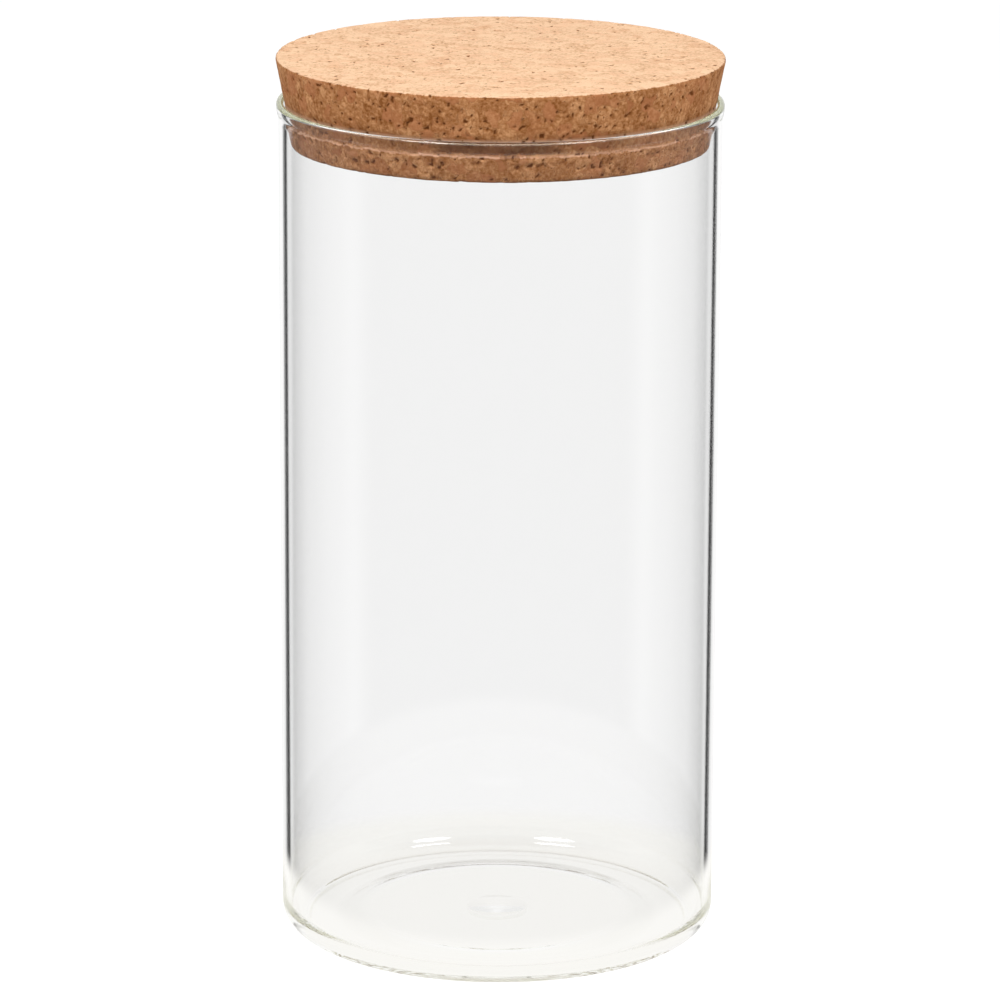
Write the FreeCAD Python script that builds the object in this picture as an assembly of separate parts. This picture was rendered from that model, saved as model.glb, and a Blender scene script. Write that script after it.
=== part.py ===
"""A tall straight glass jar and the tapered stopper of pressed cork granules that closes it.

Both pieces are turned about the upright axis, which is Z. The jar stands on Z = 0.
All lengths are in millimetres and all angles in degrees.
"""
import FreeCAD, Part
import math
import os

# Jar: the drawn tube, its foot and its mouth
jar_diameter = 100.0
jar_height = 193.9
wall = 1.7
base_thickness = 2.0
outer_heel_radius = 5.0
inner_heel_radius = 5.5
foot_ring_width = 8.5
push_up_height = 1.0
push_up_slope_width = 5.5
nub_diameter = 14.2
nub_height = 0.7
flare_reach = 0.5
flare_rise = 3.6

# Stopper: how far it stands above the lip, its depth, its taper and how far its edges are broken back
stopper_standing = 10.2
stopper_height = 19.7
taper_angle = 11.3
seat_clearance = 0.25
top_edge_break = 0.6
foot_edge_break = 1.0

# Places that both pieces take from the jar's mouth
jar_radius = jar_diameter / 2
bore_radius = jar_radius - wall
half_wall = wall / 2
mouth_radius = bore_radius + flare_reach
lip_radius = mouth_radius + half_wall
lip_height = jar_height - half_wall


def point(radius, height):
    """A point of a profile, at a radius from the axis and a height above the ground."""
    return FreeCAD.Vector(radius, 0, height)


def line(start, end):
    """A straight edge of a profile."""
    return Part.LineSegment(start, end).toShape()


def arc(start, middle, end):
    """A round edge of a profile, through three points."""
    return Part.Arc(start, middle, end).toShape()


def turned(edges):
    """The solid that a closed half profile sweeps about the axis."""
    profile = Part.Face(Part.Wire(edges))
    return profile.revolve(FreeCAD.Vector(0, 0, 0), FreeCAD.Vector(0, 0, 1), 360)


def rounded(centre, radius, first_angle, last_angle):
    """A round of a profile about a centre, in edges of about an eighth of a turn; angle 0 is outwards."""
    eighths = max(1, round(abs(last_angle - first_angle) / 45))
    step = (last_angle - first_angle) / eighths

    def place(angle):
        turn = math.radians(angle)
        return centre + point(radius * math.cos(turn), radius * math.sin(turn))

    starts = [first_angle + step * number for number in range(eighths)]
    return [arc(place(start), place(start + step / 2), place(start + step)) for start in starts]


def cap_points(edge_radius, edge_height, rise):
    """Edge, middle and crown of a shallow dome that is level at the axis."""
    sphere_radius = (edge_radius ** 2 + rise ** 2) / (2 * rise)
    half_turn = math.asin(edge_radius / sphere_radius) / 2
    middle_drop = sphere_radius * (1 - math.cos(half_turn))
    crown_height = edge_height + rise
    middle = point(sphere_radius * math.sin(half_turn), crown_height - middle_drop)
    return point(edge_radius, edge_height), middle, point(0, crown_height)


def broken_corner(before, corner, after, break_back):
    """The two points where a flat cuts a corner off, each the same way back along its run."""
    towards_before = (before - corner).normalize()
    towards_after = (after - corner).normalize()
    return corner + towards_before * break_back, corner + towards_after * break_back


def glass_jar():
    """The jar: a pushed-up base in a thick rounded heel, a thin wall and a stepped-out, fire-rounded lip."""
    foot_inner_radius = jar_radius - outer_heel_radius - foot_ring_width

    slope_foot = point(foot_inner_radius, 0)
    slope_top = point(foot_inner_radius - push_up_slope_width, push_up_height)
    base_centre = point(0, push_up_height)
    outer_heel = point(jar_radius - outer_heel_radius, outer_heel_radius)
    inner_heel = point(bore_radius - inner_heel_radius, base_thickness + inner_heel_radius)
    floor_slope_foot = point(foot_inner_radius, base_thickness)
    floor_slope_top = slope_top + point(0, base_thickness)
    nub_edge, nub_middle, nub_crown = cap_points(nub_diameter / 2, floor_slope_top.z, nub_height)

    half_flare = math.atan(flare_reach / flare_rise)
    flare_angle = math.degrees(2 * half_flare)
    middle_bend = flare_rise / (2 * math.sin(2 * half_flare))
    tight_bend = middle_bend - half_wall
    wide_bend = middle_bend + half_wall
    flare_start = lip_height - flare_rise
    outward_bend = point(jar_radius + tight_bend, flare_start)
    upward_bend = point(mouth_radius - tight_bend, lip_height)
    lip = point(lip_radius, lip_height)

    return turned([
        line(base_centre, slope_top),
        line(slope_top, slope_foot),
        line(slope_foot, point(outer_heel.x, 0)),
        *rounded(outer_heel, outer_heel_radius, -90, 0),
        line(point(jar_radius, outer_heel.z), point(jar_radius, flare_start)),
        *rounded(outward_bend, tight_bend, 180, 180 - flare_angle),
        *rounded(upward_bend, wide_bend, -flare_angle, 0),
        *rounded(lip, half_wall, 0, 180),
        *rounded(upward_bend, tight_bend, 0, -flare_angle),
        *rounded(outward_bend, wide_bend, 180 - flare_angle, 180),
        line(point(bore_radius, flare_start), point(bore_radius, inner_heel.z)),
        *rounded(inner_heel, inner_heel_radius, 0, -90),
        line(point(inner_heel.x, base_thickness), floor_slope_foot),
        line(floor_slope_foot, floor_slope_top),
        line(floor_slope_top, nub_edge),
        arc(nub_edge, nub_middle, nub_crown),
        line(nub_crown, base_centre),
    ])


def cork_stopper():
    """The stopper: one cone whose side passes the round of the lip, a seat clearance away from it."""
    taper = math.radians(taper_angle)
    seat_reach = half_wall + seat_clearance
    seat = point(lip_radius - seat_reach * math.cos(taper), lip_height + seat_reach * math.sin(taper))
    top_height = jar_height + stopper_standing
    foot_height = top_height - stopper_height

    def side_at(height):
        return point(seat.x + (height - seat.z) * math.tan(taper), height)

    foot_centre = point(0, foot_height)
    top_centre = point(0, top_height)
    foot_corner = side_at(foot_height)
    top_corner = side_at(top_height)
    foot_start, foot_end = broken_corner(foot_centre, foot_corner, top_corner, foot_edge_break)
    top_start, top_end = broken_corner(foot_corner, top_corner, top_centre, top_edge_break)

    return turned([
        line(foot_centre, foot_start),
        line(foot_start, foot_end),
        line(foot_end, top_start),
        line(top_start, top_end),
        line(top_end, top_centre),
        line(top_centre, foot_centre),
    ])


def main():
    os.makedirs("parts", exist_ok=True)
    for make in (glass_jar, cork_stopper):
        solid = make()
        print(make.__name__, "valid" if solid.isValid() else "not valid", round(solid.Volume), "mm3")
        solid.exportStep(f"parts/{make.__name__}.step")


main()
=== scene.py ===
"""A tall glass jar with a cork stopper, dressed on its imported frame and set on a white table."""
import math
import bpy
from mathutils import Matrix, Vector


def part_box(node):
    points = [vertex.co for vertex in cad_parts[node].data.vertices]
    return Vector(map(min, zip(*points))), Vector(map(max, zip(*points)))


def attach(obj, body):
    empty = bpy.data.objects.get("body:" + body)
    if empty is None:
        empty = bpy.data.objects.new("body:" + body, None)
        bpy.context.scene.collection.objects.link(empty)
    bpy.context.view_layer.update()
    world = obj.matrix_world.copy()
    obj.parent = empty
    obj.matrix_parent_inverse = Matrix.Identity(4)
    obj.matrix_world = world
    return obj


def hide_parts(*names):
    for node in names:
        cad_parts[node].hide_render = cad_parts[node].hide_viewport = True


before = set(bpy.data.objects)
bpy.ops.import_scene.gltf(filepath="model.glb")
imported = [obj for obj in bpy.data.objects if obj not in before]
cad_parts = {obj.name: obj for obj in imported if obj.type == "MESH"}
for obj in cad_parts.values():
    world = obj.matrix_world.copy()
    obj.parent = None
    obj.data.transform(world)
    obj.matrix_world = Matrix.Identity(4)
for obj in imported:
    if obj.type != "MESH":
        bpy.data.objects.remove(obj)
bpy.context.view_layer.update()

from array import array

import bpy
from bpy.props import FloatProperty, FloatVectorProperty, IntProperty, PointerProperty
from mathutils import Vector

bl_info = {
    "name": "Corked glass jar",
    "version": (1, 0, 0),
    "blender": (4, 5, 0),
    "location": "View3D > Sidebar > Corked jar",
    "description": "Models a glass jar and its cork stopper, and sets them on a white table",
    "category": "Object",
}

JAR_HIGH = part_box("glass_jar")[1]
STOPPER_LOW, STOPPER_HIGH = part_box("cork_stopper")
MM = 0.001
QUARTER_TURN = math.pi / 2
BLACK = (0.0, 0.0, 0.0)
WHITE = (1.0, 1.0, 1.0)

# Steps of the curves and straight runs in the jar's half profile
CORNER_STEPS = 6
OUTER_HEEL_STEPS = 16
INNER_HEEL_STEPS = 20
WALL_STEPS = 40
FLARE_STEPS = 8
LIP_STEPS = 24
NUB_STEPS = 12

# Size of the nub's corner against the others, and the reach within which doubled points are merged
NUB_CORNER = 1 / 3
MERGE_REACH = MM / 1000

# The stopper's broken edges, and the tones of the pit pattern at which a pit begins and is full
BREAK_STEPS = 2
BREAK_ANGLE = math.radians(50)
PIT_STOPS = [(0.665, BLACK), (0.765, WHITE)]

# Patterns of the cork: their sizes, how finely they are broken up, and the middle that a noise swings about
BEND_SIZE = 2.2 * MM
GRAIN_SIZE = 0.85 * MM
PATCH_SIZE = 9 * MM
BEND_REACH = 0.7
CRUMBS_ACROSS = 2.7
WAVE_DETAIL = 2.0
GRAIN_DETAIL = 4.0
GRAIN_ROUGHNESS = 0.62
NOISE_MIDDLE = 0.5

# Tones at which the cork takes on each colour of its side and of its sanded top
SIDE_TONES = 0.05, 0.5, 0.95
SANDED_TONES = 0.05, 0.6

# Marks on the cork: where each one begins, and where it is full
PINK_WARMTH = 0.55, 0.95
ROSY_WARMTH = 0.5, 0.9
ROSY_GRAIN = 0.35, 0.6
SEAM_EDGE = 0.07, 0.0
SEAM_GRAIN = 0.45, 0.6
SPECK_GRAIN = 0.61, 0.67
SPECK_PATCH = 0.42, 0.56
HOLLOW_DEPTH = 0.15, 0.85
# Seat line: partly pressed into the cork, partly a painted highlight
SEAT_AND_HIGHLIGHT_WARMTH = -0.3, 0.8

# Bands on the cork: where each edge begins and is full, from the top, the shoulder, the axis or the lip
TOP_DROP = 0.35 * MM, 0.15 * MM
# Seat line: partly pressed into the cork, partly a painted highlight that the shoulder catches
SEAT_AND_HIGHLIGHT_EDGE = 0.42 * MM, 0.08 * MM
# Painted shade: the dark band below the lip stands for the lip's shade on the cork
PAINTED_LIP_SHADE_FOOT = 0.5 * MM, 0.8 * MM
PAINTED_LIP_SHADE_TOP = 3.2 * MM, 2.6 * MM
# Painted shade: reach of the stronger shade at the front of the cork
PAINTED_FRONT_SHADE = 44.5 * MM, 47.5 * MM
# Painted light: the pale band beside the lip stands for light that the glass brings onto the cork
PAINTED_LIP_LIGHT_FOOT = -1.2 * MM, -0.7 * MM
PAINTED_LIP_LIGHT_TOP = 0.6 * MM, -0.3 * MM
RAGGED_REACH = 0.5 * MM
PAINTED_FRONT_SHADE_REACH = 4 * MM

# Parts of the white room, by how far a direction points up (rise) or away from the camera's side (north)
LEVEL_RISE = 0.62, 0.5
STEEP_RISE = -0.5, -0.62
RAISED_RISE = -0.02, 0.12
OVERHEAD_RISE = 0.5, 0.7
BORE_RISE = 0.12, 0.04
BORE_NORTH = 0.8, 0.74
AHEAD_NORTH = 0.84, 0.93
BESIDE_FROM_SOUTH = -0.9, 0.1
BESIDE_FROM_NORTH = 0.75, 0.35
RETURNED_NORTH = 0.0, -0.3

# Light path depths are whole numbers, so these halves part one count from the next
FROM_ONE, FROM_TWO, FROM_THREE = 0.5, 1.5, 2.5

# The white under the jar: how far it fades past its radius, and where its edge tint begins and is full.
# Inside that edge it is dimmer, as painted shade under the jar
MAT_FADE = 1.2
MAT_EDGE = JAR_HIGH[0] * 0.92, JAR_HIGH[0] * 1.15

# Steps round the table, the width of the camera's frame in millimetres and its reach in metres
TABLE_STEPS = 128
FRAME_WIDTH = 36
CAMERA_REACH = 20


def length(name, description, millimetres):
    """A length that a user can change, written in millimetres."""
    return FloatProperty(
        name=name, description=description, default=millimetres * MM,
        precision=5, subtype="DISTANCE", unit="LENGTH")


def angle(name, description, degrees):
    """An angle that a user can change, written in degrees."""
    return FloatProperty(
        name=name, description=description, default=math.radians(degrees), subtype="ANGLE", unit="ROTATION")


def colour(name, description, red, green, blue):
    """A linear colour that a user can change."""
    return FloatVectorProperty(
        name=name, description=description, default=(red, green, blue),
        size=3, min=0, max=1, subtype="COLOR")


def share(name, description, default):
    """A plain number that a user can change."""
    return FloatProperty(name=name, description=description, default=default, precision=4)


def count(name, description, default, least):
    """A whole number that a user can change."""
    return IntProperty(name=name, description=description, default=default, min=least)


class JarSizes(bpy.types.PropertyGroup):
    """Sizes of the glass jar that its box doesn't give."""
    body_radius: length("Body radius", "Outside radius of the straight wall", 50.0)
    wall: length("Wall", "Thickness of the straight wall", 1.7)
    base: length("Base", "Thickness of the base, whose two faces rise alike", 2.0)
    outer_heel: length("Outer heel", "Radius of the heel outside", 5.0)
    inner_heel: length("Inner heel", "Radius of the heel inside", 5.5)
    foot_ring: length("Foot ring", "Width of the flat ring that the jar stands on", 8.5)
    push_up: length("Push-up", "Rise of the underside inside the foot ring", 1.0)
    push_up_slope: length("Push-up slope", "Width of the slope inside the foot ring", 5.5)
    nub_radius: length("Nub radius", "Radius of the nub in the middle of the floor", 7.1)
    nub_height: length("Nub height", "Height of the nub in the middle of the floor", 0.7)
    flare_reach: length("Flare reach", "How far the mouth steps outwards", 0.5)
    flare_rise: length("Flare rise", "Height of that step, up to the lip's round", 3.6)
    soft_corner: length("Soft corner", "Length of the rounding at the small corners of the base", 1.5)
    around: count("Around", "Steps of the turned wall round the axis", 256, 16)


class StopperSizes(bpy.types.PropertyGroup):
    """Sizes of the cork stopper that its box doesn't give."""
    top_radius: length("Top radius", "Radius of the top before its edge is broken", 50.73)
    taper: angle("Taper", "Slope of the stopper's side from the axis", 11.0)
    edge_break: length("Edge break", "Width of the broken edges", 0.5)
    shoulder_drop: length("Shoulder drop", "Depth below the lip of the seating shoulder", 3.4)
    shoulder_step: length("Shoulder step", "How far the shoulder stands out of the cone", 0.2)
    cell: length("Cell", "Size of the mesh that the crumbs and pits are cut into", 0.5)
    granule: length("Granule", "Usual width of a cork granule", 3.2)
    granule_relief: length("Granule relief", "Depth of the seams between the granules", 0.1)
    pit: length("Pit", "Usual width of a pit between granules", 1.1)
    pit_depth: length("Pit depth", "Depth of a pit on the side", 0.4)
    around: count("Around", "Steps of the cone round the axis", 256, 16)


class CorkFinish(bpy.types.PropertyGroup):
    """Colours and marks of the pressed cork, with painted shade below the lip and painted light beside it.
    """
    dark: colour("Dark granules", "Darkest granules on the side", 0.23, 0.077, 0.018)
    middle: colour("Middle granules", "Usual granules on the side", 0.415, 0.18, 0.069)
    pale: colour("Pale granules", "Palest granules on the side", 0.64, 0.33, 0.152)
    pink: colour("Pink granules", "Granules with a warm pink tone", 0.425, 0.16, 0.067)
    pit: colour("Pits", "Bottoms of the pits", 0.15, 0.046, 0.01)
    # Painted shade: the dark band below the lip is the lip's shade painted onto the cork
    painted_lip_shade: colour("Pinched", "Dark band that the lip presses on the side", 0.1, 0.04, 0.018)
    # Partly the line that the glass pressed into the cork, partly a painted highlight that the shoulder
    # catches; also the colour of the painted light beside the lip
    seat_and_highlight: colour("Seat", "Pale line that the glass has pressed into the side", 0.82, 0.5, 0.33)
    sanded_dark: colour("Sanded dark", "Darkest granules on the sanded top", 0.61, 0.34, 0.182)
    sanded_pale: colour("Sanded pale", "Palest granules on the sanded top", 0.872, 0.583, 0.372)
    sanded_pink: colour("Sanded pink", "Rosy granules on the sanded top", 0.8, 0.465, 0.28)
    lightness: share("Lightness", "Tone that the contrasts are added to", 0.2)
    granule_contrast: share("Granule contrast", "How much the granules differ in tone", 0.35)
    crumb_contrast: share("Crumb contrast", "How much the crumbs differ in tone", 0.25)
    grain_contrast: share("Grain contrast", "How much the finest grain differs in tone", 2.0)
    patch_contrast: share("Patch contrast", "How much the broad patches differ in tone", 0.4)
    pink_cover: share("Pink cover", "How strongly pink granules show on the side", 0.6)
    rosy_cover: share("Rosy cover", "How strongly rosy granules show on the top", 0.6)
    seam_cover: share("Seam cover", "How strongly the seams show", 0.4)
    seat_and_highlight_cover: share("Seat cover", "How strongly the pale line shows", 0.75)
    # Painted light beside the lip
    painted_lip_light_cover: share("Lip line cover", "How strongly the pale line beside the lip shows", 0.6)
    # Painted shade below the lip: how strongly it shows all round
    painted_lip_shade_cover: share("Pinched cover", "How strongly the dark band shows all round", 0.2)
    # Painted shade: how much darker the band is at the front of the cork
    painted_front_shade_cover: share("Hard cover", "How much more it shows where the lip presses hardest", 0.5)
    uneven_cover: share("Uneven cover", "How much it varies along its way", 0.5)
    speck_cover: share("Speck cover", "How strongly the specks show", 0.9)
    worn_pits: share("Worn pits", "How much paler the pits and specks are on the sanded top", 0.45)
    relief: share("Relief", "Strength of the fine relief", 0.5)
    relief_depth: length("Relief depth", "Depth of the fine relief", 0.12)
    roughness: share("Roughness", "How matt the cork is", 0.85)
    gloss: share("Gloss", "Level of the cork's faint gloss", 0.1)


class GlassFinish(bpy.types.PropertyGroup):
    """Look of the clear glass."""
    surface: colour("Surface", "Tint of the glass surface", 1.0, 1.0, 1.0)
    depth_colour: colour("Depth colour", "Colour that a long way through it takes on", 0.92, 0.928, 0.775)
    depth_density: share("Depth density", "How fast the depth colour builds up, per metre", 3.0)
    index: share("Index", "How strongly the glass bends light", 1.47)


class StageSettings(bpy.types.PropertyGroup):
    """Camera, lamps and white surroundings."""
    camera_distance: length("Camera distance", "Level distance from the jar's axis to the camera", 1259.6)
    camera_height: length("Camera height", "Height of the camera above the table", 434.5)
    camera_side: length("Camera side", "How far the camera stands to the right of the jar's axis", 0.28)
    camera_pitch: angle("Camera pitch", "How far the camera looks down", 14.844)
    camera_roll: angle("Camera roll", "How far the camera leans", 0.25)
    lens: share("Lens", "Focal length in millimetres, on a frame 36 mm wide", 204.62)
    table_radius: length("Table radius", "Radius of the white table", 3000.0)
    table_grey: share("Table grey", "Share of the light that the table gives back", 0.9)
    table_white: share("Table white", "White of the table that shadows don't reach", 0.9)
    table_lit: share("Table lit", "Share of the light on the table that the eye sees as well", 0.25)
    table_drop: length("Table drop", "Gap that keeps the table's face apart from the jar's foot", 0.1)
    mat_radius: length("Mat radius", "Radius of the white under the jar that shows through the glass", 72.0)
    # Painted shade: the white seen through the base is dimmer under the jar than at its edge
    mat_painted_shade: colour("Mat tint", "White of the table seen through the base", 0.95, 0.938, 0.9)
    mat_edge_tint: colour("Mat edge tint", "White of the table seen through the wall", 0.99, 0.982, 0.95)
    mat_returned: share("Mat returned", "Level of that white where the far wall mirrors it", 0.65)
    lamp_height: length("Lamp height", "Height of the two soft boxes", 950.0)
    left_lamp: length("Left lamp", "How far the left soft box stands to the left", 500.0)
    right_lamp: length("Right lamp", "How far the right soft box stands to the right", 600.0)
    lamp_front: length("Lamp front", "How far the soft boxes stand towards the camera", 500.0)
    lamp_width: length("Lamp width", "Width of a soft box", 400.0)
    lamp_power: FloatProperty(
        name="Lamp power", description="Power of a soft box", default=5.8, subtype="POWER", unit="POWER")
    fill: share("Fill", "Level of the light that comes from all round", 0.42)
    mirrored: share("Mirrored room", "Level of the room in front and behind that the glass mirrors", 0.14)
    mirrored_sides: share("Mirrored sides", "Level of the room at the sides that the glass mirrors", 0.28)
    mirrored_above: share("Mirrored ceiling", "Level of the room above that the glass mirrors", 0.95)
    overhead_tint: colour("Overhead tint", "Colour of the soft light straight above", 1.0, 0.86, 0.66)
    mirrored_overhead: share("Mirrored overhead", "Level of the light overhead that the lip mirrors", 8.0)
    gap_start: angle("Gap start", "Bearing off the four main ways where the dark gap begins", 22.5)
    gap_end: angle("Gap end", "Bearing off the four main ways where the dark gap ends", 29.5)
    gap_edge: angle("Gap edge", "Softness of the gap's two edges", 2.5)
    dimming: share("Dimming", "How much the white has dimmed off the eight main ways", 0.11)
    dimming_start: angle("Dimming start", "Bearing off the eight main ways where dimming begins", 1.0)
    dimming_end: angle("Dimming end", "Bearing off the eight main ways where dimming is full", 11.0)
    glass_bounces: count("Glass bounces", "How often light may turn inside the glass", 800, 4)


class Flow:
    """A value that flows from one node's socket to others in the same tree."""

    def __init__(self, nodes, socket):
        self.nodes = nodes
        self.socket = socket

    def __add__(self, other):
        return self.nodes.math("ADD", self, other)

    def __radd__(self, other):
        return self.nodes.math("ADD", other, self)

    def __sub__(self, other):
        return self.nodes.math("SUBTRACT", self, other)

    def __rsub__(self, other):
        return self.nodes.math("SUBTRACT", other, self)

    def __mul__(self, other):
        return self.nodes.math("MULTIPLY", self, other)

    def __rmul__(self, other):
        return self.nodes.math("MULTIPLY", other, self)

    def __gt__(self, other):
        return self.nodes.math("GREATER_THAN", self, other)

    def __lt__(self, other):
        return self.nodes.math("LESS_THAN", self, other)


class Nodes:
    """Adds nodes to the tree of one material, world or lamp."""

    def __init__(self, owner):
        owner.use_nodes = True
        self.tree = owner.node_tree
        self.tree.nodes.clear()

    def add(self, kind, settings=None, inputs=None, output=0):
        """One output of a new node, given its settings, then values or links for its sockets."""
        node = self.tree.nodes.new(kind)
        for name, value in (settings or {}).items():
            if name == "stops":
                set_stops(node.color_ramp, value)
            else:
                setattr(node, name, value)
        for name, value in (inputs or {}).items():
            socket = node.inputs[name]
            if isinstance(value, Flow):
                self.tree.links.new(value.socket, socket)
            elif socket.type == "RGBA" and len(value) == 3:
                socket.default_value = (*value, 1)
            else:
                socket.default_value = value
        return Flow(self, node.outputs[output]) if node.outputs else node

    def math(self, operation, *values):
        """What a Math node makes of values and numbers."""
        return self.add("ShaderNodeMath", {"operation": operation}, dict(enumerate(values)))

    def mix(self, factor, first, second):
        """Two colours mixed by a factor."""
        return self.add("ShaderNodeMix", {"data_type": "RGBA"}, {0: factor, 6: first, 7: second}, 2)

    def between(self, value, low, high):
        """0 below low, 1 above high and a smooth rise between them. With low above high it falls."""
        settings = {"interpolation_type": "SMOOTHSTEP"}
        return self.add("ShaderNodeMapRange", settings, {0: value, 1: low, 2: high, 3: 0.0, 4: 1.0})

    def ramp(self, value, stops):
        """A colour from a list of places and colours."""
        return self.add("ShaderNodeValToRGB", {"stops": stops}, {0: value})


def set_stops(ramp, stops):
    """Gives a colour ramp its stops, each a place and a colour."""
    stops = list(stops)
    while len(ramp.elements) < len(stops):
        ramp.elements.new(1.0)
    for element, (place, tone) in zip(ramp.elements, stops):
        element.position = place
        element.color = (*tone, 1)


def cork_material(finish, sizes):
    """Pressed cork: granules of several browns with seams and pits, and a pale sanded top."""
    material = bpy.data.materials.new("granulated_cork")
    nodes = Nodes(material)
    place = nodes.add("ShaderNodeTexCoord", output="Object")
    waves = {"Vector": place, "Scale": 1 / BEND_SIZE, "Detail": WAVE_DETAIL}
    bent = nodes.add("ShaderNodeTexNoise", {}, waves, 1)
    shift = nodes.add("ShaderNodeVectorMath", {"operation": "MULTIPLY_ADD"},
                      {0: bent, 1: [sizes.granule * BEND_REACH] * 3, 2: place})
    cell_scale = 1 / sizes.granule
    cells = {"Vector": shift, "Scale": cell_scale}
    crumb_cells = {"Vector": shift, "Scale": cell_scale * CRUMBS_ACROSS}
    granules = nodes.add("ShaderNodeTexVoronoi", {}, cells, 1)
    granule = nodes.add("ShaderNodeSeparateColor", {}, {0: granules}, 0)
    warmth = nodes.add("ShaderNodeSeparateColor", {}, {0: granules}, 1)
    crumbs = nodes.add("ShaderNodeTexVoronoi", {}, crumb_cells, 1)
    crumb = nodes.add("ShaderNodeSeparateColor", {}, {0: crumbs}, 0)
    edge = nodes.add("ShaderNodeTexVoronoi", {"feature": "DISTANCE_TO_EDGE"}, cells, 0)
    grain = nodes.add("ShaderNodeTexNoise", {}, {
        "Vector": place, "Scale": 1 / GRAIN_SIZE, "Detail": GRAIN_DETAIL, "Roughness": GRAIN_ROUGHNESS})
    patch = nodes.add("ShaderNodeTexNoise", {}, {
        "Vector": place, "Scale": 1 / PATCH_SIZE, "Detail": WAVE_DETAIL})
    grain_swing = grain - NOISE_MIDDLE
    patch_swing = patch - NOISE_MIDDLE

    tone = granule * finish.granule_contrast + crumb * finish.crumb_contrast
    tone = tone + grain_swing * finish.grain_contrast + patch_swing * finish.patch_contrast
    tone = tone + finish.lightness
    side = nodes.ramp(tone, zip(SIDE_TONES, (finish.dark, finish.middle, finish.pale)))
    side = nodes.mix(nodes.between(warmth, *PINK_WARMTH) * finish.pink_cover, side, finish.pink)
    seam = nodes.between(edge, *SEAM_EDGE) * nodes.between(grain, *SEAM_GRAIN) * finish.seam_cover
    side = nodes.mix(seam, side, finish.pit)

    sanded = nodes.ramp(tone, zip(SANDED_TONES, (finish.sanded_dark, finish.sanded_pale)))
    rosy = nodes.between(warmth, *ROSY_WARMTH) * nodes.between(grain, *ROSY_GRAIN)
    sanded = nodes.mix(rosy * finish.rosy_cover, sanded, finish.sanded_pink)

    north = nodes.add("ShaderNodeSeparateXYZ", {}, {0: place}, 1)
    height = nodes.add("ShaderNodeSeparateXYZ", {}, {0: place}, 2)
    ragged_height = height + grain_swing * RAGGED_REACH
    on_top = nodes.between(ragged_height, *[STOPPER_HIGH[2] - drop for drop in TOP_DROP])
    shoulder = JAR_HIGH[2] - sizes.shoulder_drop
    off_seat = ragged_height - shoulder + (crumb - NOISE_MIDDLE) * RAGGED_REACH
    # Seat line: partly the line that the glass pressed into the cork, partly a painted highlight on the
    # shoulder
    seat_and_highlight = nodes.between(nodes.math("ABSOLUTE", off_seat), *SEAT_AND_HIGHLIGHT_EDGE) * nodes.between(warmth, *SEAT_AND_HIGHLIGHT_WARMTH)
    side = nodes.mix(seat_and_highlight * finish.seat_and_highlight_cover, side, finish.seat_and_highlight)
    # Painted shade: the band below the lip is darker at the front of the cork
    painted_front_shade = nodes.between(patch_swing * PAINTED_FRONT_SHADE_REACH - north, *PAINTED_FRONT_SHADE)
    # Painted shade: a dark band below the lip, stronger at the front and uneven along its way
    painted_lip_shade = nodes.between(off_seat, *PAINTED_LIP_SHADE_FOOT) * nodes.between(off_seat, *PAINTED_LIP_SHADE_TOP)
    painted_shade_strength = painted_front_shade * finish.painted_front_shade_cover + finish.painted_lip_shade_cover + patch_swing * finish.uneven_cover
    side = nodes.mix(painted_lip_shade * painted_shade_strength, side, finish.painted_lip_shade)
    # Painted light: a pale band on the cork beside the lip
    off_lip = ragged_height - JAR_HIGH[2]
    painted_lip_light = nodes.between(off_lip, *PAINTED_LIP_LIGHT_FOOT) * nodes.between(off_lip, *PAINTED_LIP_LIGHT_TOP)
    side = nodes.mix(painted_lip_light * finish.painted_lip_light_cover, side, finish.seat_and_highlight)
    body = nodes.mix(on_top, side, sanded)

    hollow = nodes.add("ShaderNodeAttribute", {"attribute_name": "hollow"}, output="Fac")
    speck = nodes.between(grain, *SPECK_GRAIN) * nodes.between(patch, *SPECK_PATCH) * finish.speck_cover
    depth = nodes.math("MAXIMUM", nodes.between(hollow, *HOLLOW_DEPTH), speck)
    body = nodes.mix(depth * (1 - on_top * finish.worn_pits), body, finish.pit)

    relief = nodes.add("ShaderNodeBump", {}, {
        "Strength": finish.relief, "Distance": finish.relief_depth, "Height": grain - seam})
    shader = nodes.add("ShaderNodeBsdfPrincipled", {}, {
        "Base Color": body, "Roughness": finish.roughness,
        "Specular IOR Level": finish.gloss, "Normal": relief})
    nodes.add("ShaderNodeOutputMaterial", {}, {"Surface": shader})
    return material


def glass_material(finish):
    """Clear glass that takes on a faint green where light goes a long way through it."""
    material = bpy.data.materials.new("faint_green_glass")
    nodes = Nodes(material)
    shader = nodes.add("ShaderNodeBsdfPrincipled", {}, {
        "Base Color": finish.surface, "Roughness": 0.0, "IOR": finish.index, "Transmission Weight": 1.0})
    depth = nodes.add("ShaderNodeVolumeAbsorption", {}, {
        "Color": finish.depth_colour, "Density": finish.depth_density})
    nodes.add("ShaderNodeOutputMaterial", {}, {"Surface": shader, "Volume": depth})
    return material


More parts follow.
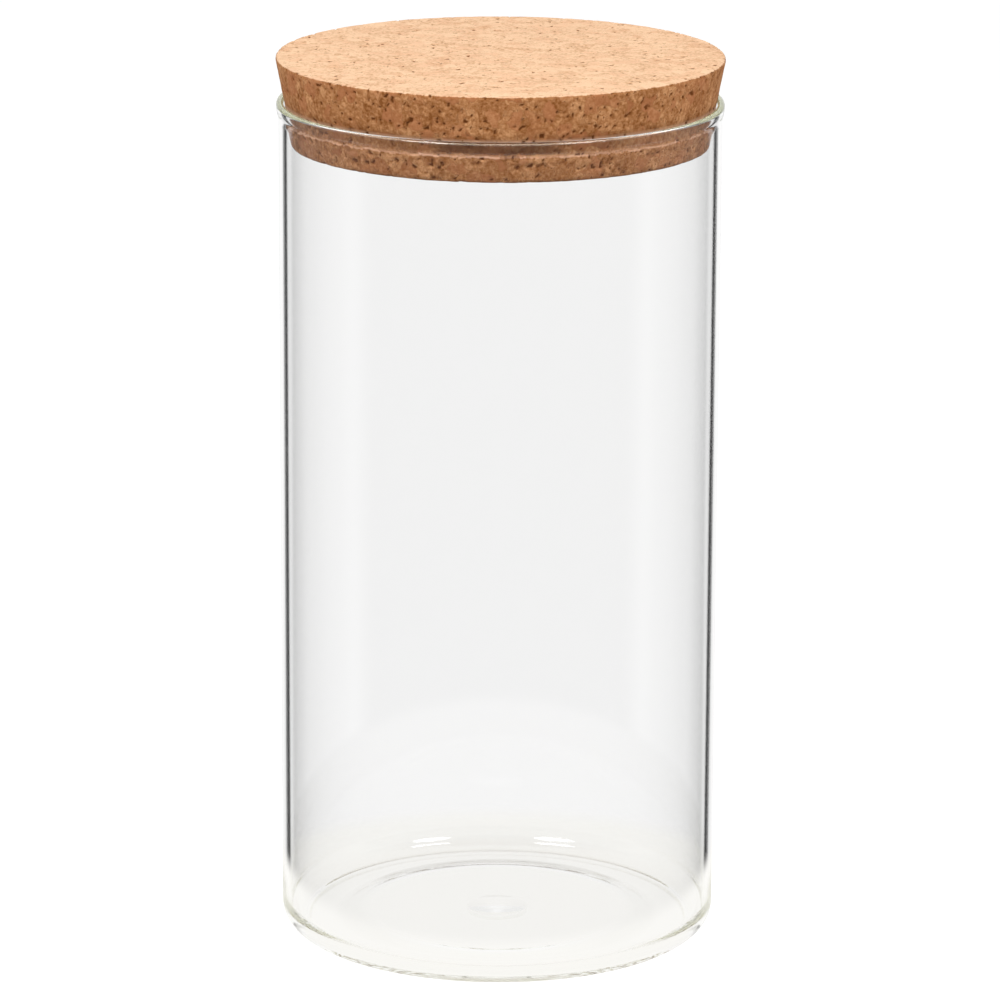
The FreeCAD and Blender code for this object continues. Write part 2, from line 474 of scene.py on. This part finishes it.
def table_material(stage):
    """A white table with a soft shadow. In and through the glass, only its mat under the jar shows, dimmed
    there as painted shade.
    """
    material = bpy.data.materials.new("white_table")
    nodes = Nodes(material)
    lit = nodes.add("ShaderNodeBsdfDiffuse", {}, {"Color": [stage.table_grey] * 3})
    faint = nodes.add("ShaderNodeBsdfDiffuse", {}, {"Color": [stage.table_grey * stage.table_lit] * 3})
    white = nodes.add("ShaderNodeEmission", {}, {"Color": WHITE, "Strength": stage.table_white})
    pale = nodes.add("ShaderNodeAddShader", {}, {0: faint, 1: white})
    clear = nodes.add("ShaderNodeBsdfTransparent", {})
    place = nodes.add("ShaderNodeTexCoord", output="Object")
    off_axis = nodes.add("ShaderNodeVectorMath", {"operation": "LENGTH"}, {0: place}, "Value")
    near = nodes.between(off_axis, stage.mat_radius * MAT_FADE, stage.mat_radius)
    mirror_steps = nodes.add("ShaderNodeLightPath", output="Glossy Depth")
    glass_steps = nodes.add("ShaderNodeLightPath", output="Transmission Depth")
    returned = (mirror_steps > FROM_ONE) * (mirror_steps < FROM_TWO) * (glass_steps > FROM_THREE)
    # Painted shade: the white under the jar is dimmer inside its edge
    tint = nodes.mix(nodes.between(off_axis, *MAT_EDGE), stage.mat_painted_shade, stage.mat_edge_tint)
    tint = nodes.mix(returned * (1 - stage.mat_returned), tint, BLACK)
    mat = nodes.add("ShaderNodeEmission", {}, {"Color": tint})
    beneath = nodes.add("ShaderNodeMixShader", {}, {0: near, 1: clear, 2: mat})
    camera = nodes.add("ShaderNodeLightPath", output="Is Camera Ray")
    through = nodes.add("ShaderNodeLightPath", output="Is Transmission Ray")
    mirrored = nodes.add("ShaderNodeLightPath", output="Is Glossy Ray")
    seen = nodes.add("ShaderNodeMixShader", {}, {0: camera, 1: lit, 2: pale})
    passed = nodes.math("MAXIMUM", through, mirrored)
    surface = nodes.add("ShaderNodeMixShader", {}, {0: passed, 1: seen, 2: beneath})
    nodes.add("ShaderNodeOutputMaterial", {}, {"Surface": surface})
    return material


def white_room(stage):
    """White all round for the eye, a dimmer room in reflections, and an even fill for the cork."""
    world = bpy.data.worlds.new("white_room")
    nodes = Nodes(world)
    way = nodes.add("ShaderNodeTexCoord", output="Generated")
    east, north, rise = [nodes.add("ShaderNodeSeparateXYZ", {}, {0: way}, axis) for axis in range(3)]
    bearing = nodes.math("ARCTAN2", east, north)
    off_panel = nodes.math("PINGPONG", bearing, QUARTER_TURN / 2)
    gap = nodes.between(off_panel, stage.gap_start - stage.gap_edge, stage.gap_start)
    gap = gap * nodes.between(off_panel, stage.gap_end + stage.gap_edge, stage.gap_end)
    off_way = nodes.math("PINGPONG", bearing, QUARTER_TURN / 4)
    aside = nodes.between(off_way, stage.dimming_start, stage.dimming_end)

    diffuse_steps = nodes.add("ShaderNodeLightPath", output="Diffuse Depth")
    mirror_steps = nodes.add("ShaderNodeLightPath", output="Glossy Depth")
    glass_steps = nodes.add("ShaderNodeLightPath", output="Transmission Depth")
    sharp = nodes.add("ShaderNodeLightPath", output="Is Singular Ray")
    mirror_met = mirror_steps > FROM_ONE
    once = mirror_met * (mirror_steps < FROM_TWO)
    in_glass = glass_steps > FROM_ONE
    in_wall = in_glass * (glass_steps < FROM_THREE)

    near_level = nodes.between(nodes.math("ABSOLUTE", rise), *LEVEL_RISE)
    dimmed = (glass_steps > FROM_THREE) * aside * stage.dimming
    through = 1 - near_level * (in_wall * gap + dimmed)

    beside = nodes.between(north, *BESIDE_FROM_SOUTH) * nodes.between(north, *BESIDE_FROM_NORTH)
    walls = stage.mirrored + beside * (stage.mirrored_sides - stage.mirrored)
    steep = nodes.between(rise, *STEEP_RISE)
    raised = nodes.between(rise, *RAISED_RISE)
    ahead = nodes.between(north, *AHEAD_NORTH)
    off_wall = nodes.math("MAXIMUM", ahead, nodes.math("MAXIMUM", steep, raised))
    mirrored = walls + off_wall * (stage.mirrored_above - walls)
    overhead = nodes.between(rise, *OVERHEAD_RISE) * sharp
    mirrored = mirrored + overhead * (stage.mirrored_overhead - mirrored)

    off_bore = once * in_wall * near_level
    off_bore = off_bore * nodes.between(north, *BORE_NORTH) * nodes.between(rise, *BORE_RISE)
    reflected = mirror_met * (1 - in_glass) + off_bore
    viewed = through + reflected * (mirrored - through)
    returned = once * in_glass * nodes.between(north, *RETURNED_NORTH)
    viewed = viewed + returned * (walls - viewed)
    level = viewed + (diffuse_steps > FROM_ONE) * (stage.fill - viewed)
    tint = nodes.mix(overhead * reflected, WHITE, stage.overhead_tint)
    background = nodes.add("ShaderNodeBackground", {}, {"Color": tint, "Strength": level})
    nodes.add("ShaderNodeOutputWorld", {}, {"Surface": background})
    return world


def light_soft_box(lamp):
    """Lights the cork and shows in one reflection, but not to light that runs on inside the glass."""
    nodes = Nodes(lamp)
    mirror_steps = nodes.add("ShaderNodeLightPath", output="Glossy Depth")
    shader = nodes.add("ShaderNodeEmission", {}, {"Color": WHITE, "Strength": mirror_steps < FROM_TWO})
    nodes.add("ShaderNodeOutputLight", {}, {"Surface": shader})


def arc_points(centre, radius, start, end, steps):
    """Points of an arc in a half profile, from one angle to another. Angle 0 points away from the axis."""
    turns = [start + (end - start) * step / steps for step in range(steps + 1)]
    return [(centre[0] + radius * math.cos(turn), centre[1] + radius * math.sin(turn)) for turn in turns]


def soft_corner(before, corner, after, reach):
    """Points that round a corner between two straight runs, over the same reach along each."""
    corner = Vector(corner)
    start = corner + (Vector(before) - corner).normalized() * reach
    end = corner + (Vector(after) - corner).normalized() * reach
    curve = []
    for step in range(CORNER_STEPS + 1):
        part = step / CORNER_STEPS
        curve.append(tuple(start.lerp(corner, part).lerp(corner.lerp(end, part), part)))
    return curve


def straight_points(start, end, steps):
    """Points inside a straight run, without its two ends."""
    return [tuple(Vector(start).lerp(Vector(end), step / steps)) for step in range(1, steps)]


def jar_outline(sizes):
    """Half profile of the jar: along the underside, up the outside, over the lip and down to the floor."""
    top = JAR_HIGH[2]
    half_wall = sizes.wall / 2
    bore = sizes.body_radius - sizes.wall
    mouth = bore + sizes.flare_reach
    lip_height = top - half_wall
    flare_start = lip_height - sizes.flare_rise
    turn = 2 * math.atan(sizes.flare_reach / sizes.flare_rise)
    middle_bend = sizes.flare_rise / (2 * math.sin(turn))
    tight_bend = middle_bend - half_wall
    wide_bend = middle_bend + half_wall
    outward_bend = (sizes.body_radius + tight_bend, flare_start)
    upward_bend = (mouth - tight_bend, lip_height)
    lip = (mouth + half_wall, lip_height)

    foot_outside = sizes.body_radius - sizes.outer_heel
    foot_inside = foot_outside - sizes.foot_ring
    slope_top = (foot_inside - sizes.push_up_slope, sizes.push_up)
    slope_foot = (foot_inside, 0)
    floor_edge = bore - sizes.inner_heel
    outer_heel = (foot_outside, sizes.outer_heel)
    inner_heel = (floor_edge, sizes.base + sizes.inner_heel)
    floor_slope_foot = (foot_inside, sizes.base)
    floor_slope_top = (slope_top[0], sizes.push_up + sizes.base)
    nub_foot = (sizes.nub_radius, floor_slope_top[1])
    nub_sphere = (sizes.nub_radius ** 2 + sizes.nub_height ** 2) / (2 * sizes.nub_height)
    nub_turn = math.asin(sizes.nub_radius / nub_sphere)
    nub_centre = (0, nub_foot[1] + sizes.nub_height - nub_sphere)
    nub = arc_points(nub_centre, nub_sphere, QUARTER_TURN - nub_turn, QUARTER_TURN, NUB_STEPS)

    outline = [(0, sizes.push_up)]
    outline += soft_corner(outline[0], slope_top, slope_foot, sizes.soft_corner)
    outline += soft_corner(slope_top, slope_foot, (foot_outside, 0), sizes.soft_corner)
    outline += arc_points(outer_heel, sizes.outer_heel, -QUARTER_TURN, 0, OUTER_HEEL_STEPS)
    outline += straight_points(outline[-1], (sizes.body_radius, flare_start), WALL_STEPS)
    outline += arc_points(outward_bend, tight_bend, math.pi, math.pi - turn, FLARE_STEPS)
    outline += arc_points(upward_bend, wide_bend, -turn, 0, FLARE_STEPS)[1:]
    outline += arc_points(lip, half_wall, 0, math.pi, LIP_STEPS)[1:]
    outline += arc_points(upward_bend, tight_bend, 0, -turn, FLARE_STEPS)[1:]
    outline += arc_points(outward_bend, wide_bend, math.pi - turn, math.pi, FLARE_STEPS)[1:]
    outline += straight_points(outline[-1], (bore, inner_heel[1]), WALL_STEPS)
    outline += arc_points(inner_heel, sizes.inner_heel, 0, -QUARTER_TURN, INNER_HEEL_STEPS)
    outline += soft_corner((floor_edge, sizes.base), floor_slope_foot, floor_slope_top, sizes.soft_corner)
    outline += soft_corner(floor_slope_foot, floor_slope_top, nub_foot, sizes.soft_corner)
    outline += soft_corner(floor_slope_top, nub_foot, nub[1], sizes.soft_corner * NUB_CORNER)
    outline += nub[1:]
    return outline


def name_piece(name):
    """Names the active object and its mesh."""
    piece = bpy.context.object
    piece.name = name
    piece.data.name = name
    return piece


def draw_outline(outline):
    """Draws a half profile as a chain of edges, from a plane shrunk to its first point."""
    first = outline[0]
    bpy.ops.mesh.primitive_plane_add(size=MM, location=(first[0], 0, first[1]))
    bpy.ops.object.transform_apply(location=True)
    bpy.ops.object.mode_set(mode="EDIT")
    bpy.ops.mesh.select_all(action="SELECT")
    bpy.ops.mesh.merge(type="CENTER")
    for (across, up), (next_across, next_up) in zip(outline, outline[1:]):
        step = (next_across - across, 0, next_up - up)
        bpy.ops.mesh.extrude_region_move(TRANSFORM_OT_translate={"value": step})


def turn_outline(steps):
    """Spins the drawn profile into a closed skin about the upright axis and leaves edit mode."""
    bpy.ops.mesh.select_all(action="SELECT")
    bpy.ops.mesh.spin(steps=steps, angle=2 * math.pi, center=(0, 0, 0), axis=(0, 0, 1))
    bpy.ops.mesh.select_all(action="SELECT")
    bpy.ops.mesh.remove_doubles(threshold=MERGE_REACH)
    bpy.ops.mesh.normals_make_consistent(inside=False)
    bpy.ops.object.mode_set(mode="OBJECT")
    bpy.ops.object.shade_smooth()


def apply_modifiers(piece):
    """Applies every modifier on the active piece."""
    for modifier in list(piece.modifiers):
        bpy.ops.object.modifier_apply(modifier=modifier.name)


def dress(piece, material, body, node):
    """Gives a piece its material and slot and the body that it rides on, and hides the imported node that
    it stands for.
    """
    piece.data.materials.clear()
    piece.data.materials.append(material)
    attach(piece, body)
    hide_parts(node)


class CORKJAR_OT_glass_jar(bpy.types.Operator):
    """Turn the glass jar: foot, heel, wall and flared lip in one skin"""
    bl_idname = "corkjar.glass_jar"
    bl_label = "Glass jar"

    def execute(self, context):
        sizes = context.scene.jar_sizes
        bpy.ops.object.select_all(action="DESELECT")
        draw_outline(jar_outline(sizes))
        turn_outline(sizes.around)
        jar = name_piece("clear_jar")
        dress(jar, glass_material(context.scene.glass_finish), "jar", "glass_jar")
        jar.visible_shadow = False
        return {"FINISHED"}


class CORKJAR_OT_cork_stopper(bpy.types.Operator):
    """Cut the cork stopper: a cone with broken edges, a seating shoulder, seams and pits"""
    bl_idname = "corkjar.cork_stopper"
    bl_label = "Cork stopper"

    def execute(self, context):
        sizes = context.scene.stopper_sizes
        bpy.ops.object.select_all(action="DESELECT")
        self.cut_cone(sizes)
        stopper = name_piece("granulated_stopper")
        self.crumble(stopper, sizes)
        cork = cork_material(context.scene.cork_finish, sizes)
        dress(stopper, cork, "stopper", "cork_stopper")
        return {"FINISHED"}

    def cut_cone(self, sizes):
        """The cone and its seating shoulder."""
        low, high = STOPPER_LOW[2], STOPPER_HIGH[2]
        slope = math.tan(sizes.taper)
        foot_radius = sizes.top_radius - (high - low) * slope
        bpy.ops.mesh.primitive_cone_add(
            vertices=sizes.around, radius1=foot_radius, radius2=sizes.top_radius, depth=high - low,
            location=(0, 0, (low + high) / 2))
        bpy.ops.object.transform_apply(location=True)
        bpy.ops.object.mode_set(mode="EDIT")
        shoulder = JAR_HIGH[2] - sizes.shoulder_drop
        bpy.ops.mesh.select_all(action="SELECT")
        bpy.ops.mesh.bisect(plane_co=(0, 0, shoulder), plane_no=(0, 0, 1))
        bpy.ops.mesh.select_all(action="SELECT")
        bpy.ops.mesh.bisect(plane_co=(0, 0, shoulder - sizes.shoulder_step), plane_no=(0, 0, 1))
        self.select_points(lambda point: point.z < shoulder - sizes.shoulder_step / 2)
        growth = 1 + sizes.shoulder_step / (foot_radius + (shoulder - low) * slope)
        bpy.ops.transform.resize(value=(growth, growth, 1), center_override=(0, 0, 0))
        bpy.ops.object.mode_set(mode="OBJECT")

    def select_points(self, wanted):
        """Selects the points of the mesh in edit mode whose place is wanted."""
        bpy.ops.mesh.select_mode(type="VERT")
        bpy.ops.mesh.select_all(action="DESELECT")
        bpy.ops.object.mode_set(mode="OBJECT")
        for vertex in bpy.context.object.data.vertices:
            vertex.select = wanted(vertex.co)
        bpy.ops.object.mode_set(mode="EDIT")

    def crumble(self, stopper, sizes):
        """Breaks the cone's edges, remeshes it finely and presses granule seams and pits into it."""
        bevel = stopper.modifiers.new("broken_edges", "BEVEL")
        bevel.width = sizes.edge_break
        bevel.segments = BREAK_STEPS
        bevel.limit_method = "ANGLE"
        bevel.angle_limit = BREAK_ANGLE
        remesh = stopper.modifiers.new("fine_cells", "REMESH")
        remesh.mode = "VOXEL"
        remesh.voxel_size = sizes.cell
        apply_modifiers(stopper)
        bpy.ops.object.shade_smooth()

        seams = bpy.data.textures.new("granule_seams", "VORONOI")
        seams.noise_scale = sizes.granule
        self.press(stopper, seams, sizes.granule_relief)
        pits = bpy.data.textures.new("pits", "CLOUDS")
        pits.noise_scale = sizes.pit
        pits.noise_depth = 1
        pits.use_color_ramp = True
        set_stops(pits.color_ramp, PIT_STOPS)
        before = self.places(stopper)
        self.press(stopper, pits, sizes.pit_depth)
        self.keep_hollows(stopper, before, sizes.pit_depth)

    def press(self, stopper, texture, depth):
        """Pushes the surface inwards where the texture is bright."""
        press = stopper.modifiers.new(texture.name, "DISPLACE")
        press.texture = texture
        press.texture_coords = "LOCAL"
        press.mid_level = 0
        press.strength = -depth
        apply_modifiers(stopper)

    def places(self, stopper):
        """All the mesh's points as one run of numbers."""
        run = array("f", [0.0]) * (3 * len(stopper.data.vertices))
        stopper.data.vertices.foreach_get("co", run)
        return run

    def keep_hollows(self, stopper, before, depth):
        """Keeps how deep each point was pressed, as a share of the full depth, for the cork's colour."""
        after = self.places(stopper)
        moved = []
        for i in range(0, len(before), 3):
            step = math.dist(before[i:i + 3], after[i:i + 3])
            moved.append(min(step / depth, 1.0))
        hollow = stopper.data.attributes.new("hollow", "FLOAT", "POINT")
        hollow.data.foreach_set("value", moved)


class CORKJAR_OT_stage(bpy.types.Operator):
    """Set the white table, the two soft boxes, the white room and the camera"""
    bl_idname = "corkjar.stage"
    bl_label = "Stage"

    def execute(self, context):
        stage = context.scene.stage_settings
        context.scene.view_settings.view_transform = "Standard"
        for kind in ("max", "glossy", "transmission"):
            setattr(context.scene.cycles, kind + "_bounces", stage.glass_bounces)
        context.scene.world = white_room(stage)
        self.set_table(stage)
        self.hang_lamp("left_soft_box", -stage.left_lamp, stage)
        self.hang_lamp("right_soft_box", stage.right_lamp, stage)
        self.set_camera(context, stage)
        return {"FINISHED"}

    def set_table(self, stage):
        bpy.ops.object.select_all(action="DESELECT")
        bpy.ops.mesh.primitive_circle_add(
            vertices=TABLE_STEPS, radius=stage.table_radius, fill_type="NGON",
            location=(0, 0, -stage.table_drop))
        table = name_piece("table")
        table.data.materials.append(table_material(stage))

    def hang_lamp(self, name, side, stage):
        place = Vector((side, -stage.lamp_front, stage.lamp_height))
        aim = Vector((0, 0, STOPPER_HIGH[2])) - place
        turn = aim.to_track_quat("-Z", "Y").to_euler()
        bpy.ops.object.light_add(type="AREA", location=place, rotation=turn)
        lamp = bpy.context.object
        lamp.name = name
        lamp.data.shape = "DISK"
        lamp.data.size = stage.lamp_width
        lamp.data.energy = stage.lamp_power
        light_soft_box(lamp.data)

    def set_camera(self, context, stage):
        place = (stage.camera_side, -stage.camera_distance, stage.camera_height)
        tilt = QUARTER_TURN - stage.camera_pitch
        bpy.ops.object.camera_add(location=place, rotation=(tilt, 0, 0))
        camera = bpy.context.object
        camera.name = "camera"
        camera.rotation_euler.rotate_axis("Z", stage.camera_roll)
        camera.data.lens = stage.lens
        camera.data.sensor_width = FRAME_WIDTH
        camera.data.clip_end = CAMERA_REACH
        context.scene.camera = camera


class CORKJAR_PT_sidebar(bpy.types.Panel):
    """The jar's pieces and its stage, in the order in which they are made"""
    bl_label = "Corked jar"
    bl_idname = "CORKJAR_PT_sidebar"
    bl_space_type = "VIEW_3D"
    bl_region_type = "UI"
    bl_category = "Corked jar"

    def draw(self, context):
        for operator in OPERATORS:
            self.layout.operator(operator.bl_idname)


OPERATORS = (CORKJAR_OT_glass_jar, CORKJAR_OT_cork_stopper, CORKJAR_OT_stage)
GROUPS = {
    "jar_sizes": JarSizes,
    "stopper_sizes": StopperSizes,
    "cork_finish": CorkFinish,
    "glass_finish": GlassFinish,
    "stage_settings": StageSettings,
}


def register():
    for group in (*GROUPS.values(), *OPERATORS, CORKJAR_PT_sidebar):
        bpy.utils.register_class(group)
    for name, group in GROUPS.items():
        setattr(bpy.types.Scene, name, PointerProperty(type=group))


def unregister():
    for name in GROUPS:
        delattr(bpy.types.Scene, name)
    for group in (CORKJAR_PT_sidebar, *OPERATORS, *GROUPS.values()):
        bpy.utils.unregister_class(group)


def main():
    register()
    bpy.ops.corkjar.glass_jar()
    bpy.ops.corkjar.cork_stopper()
    bpy.ops.corkjar.stage()


if __name__ == "__main__":
    main()
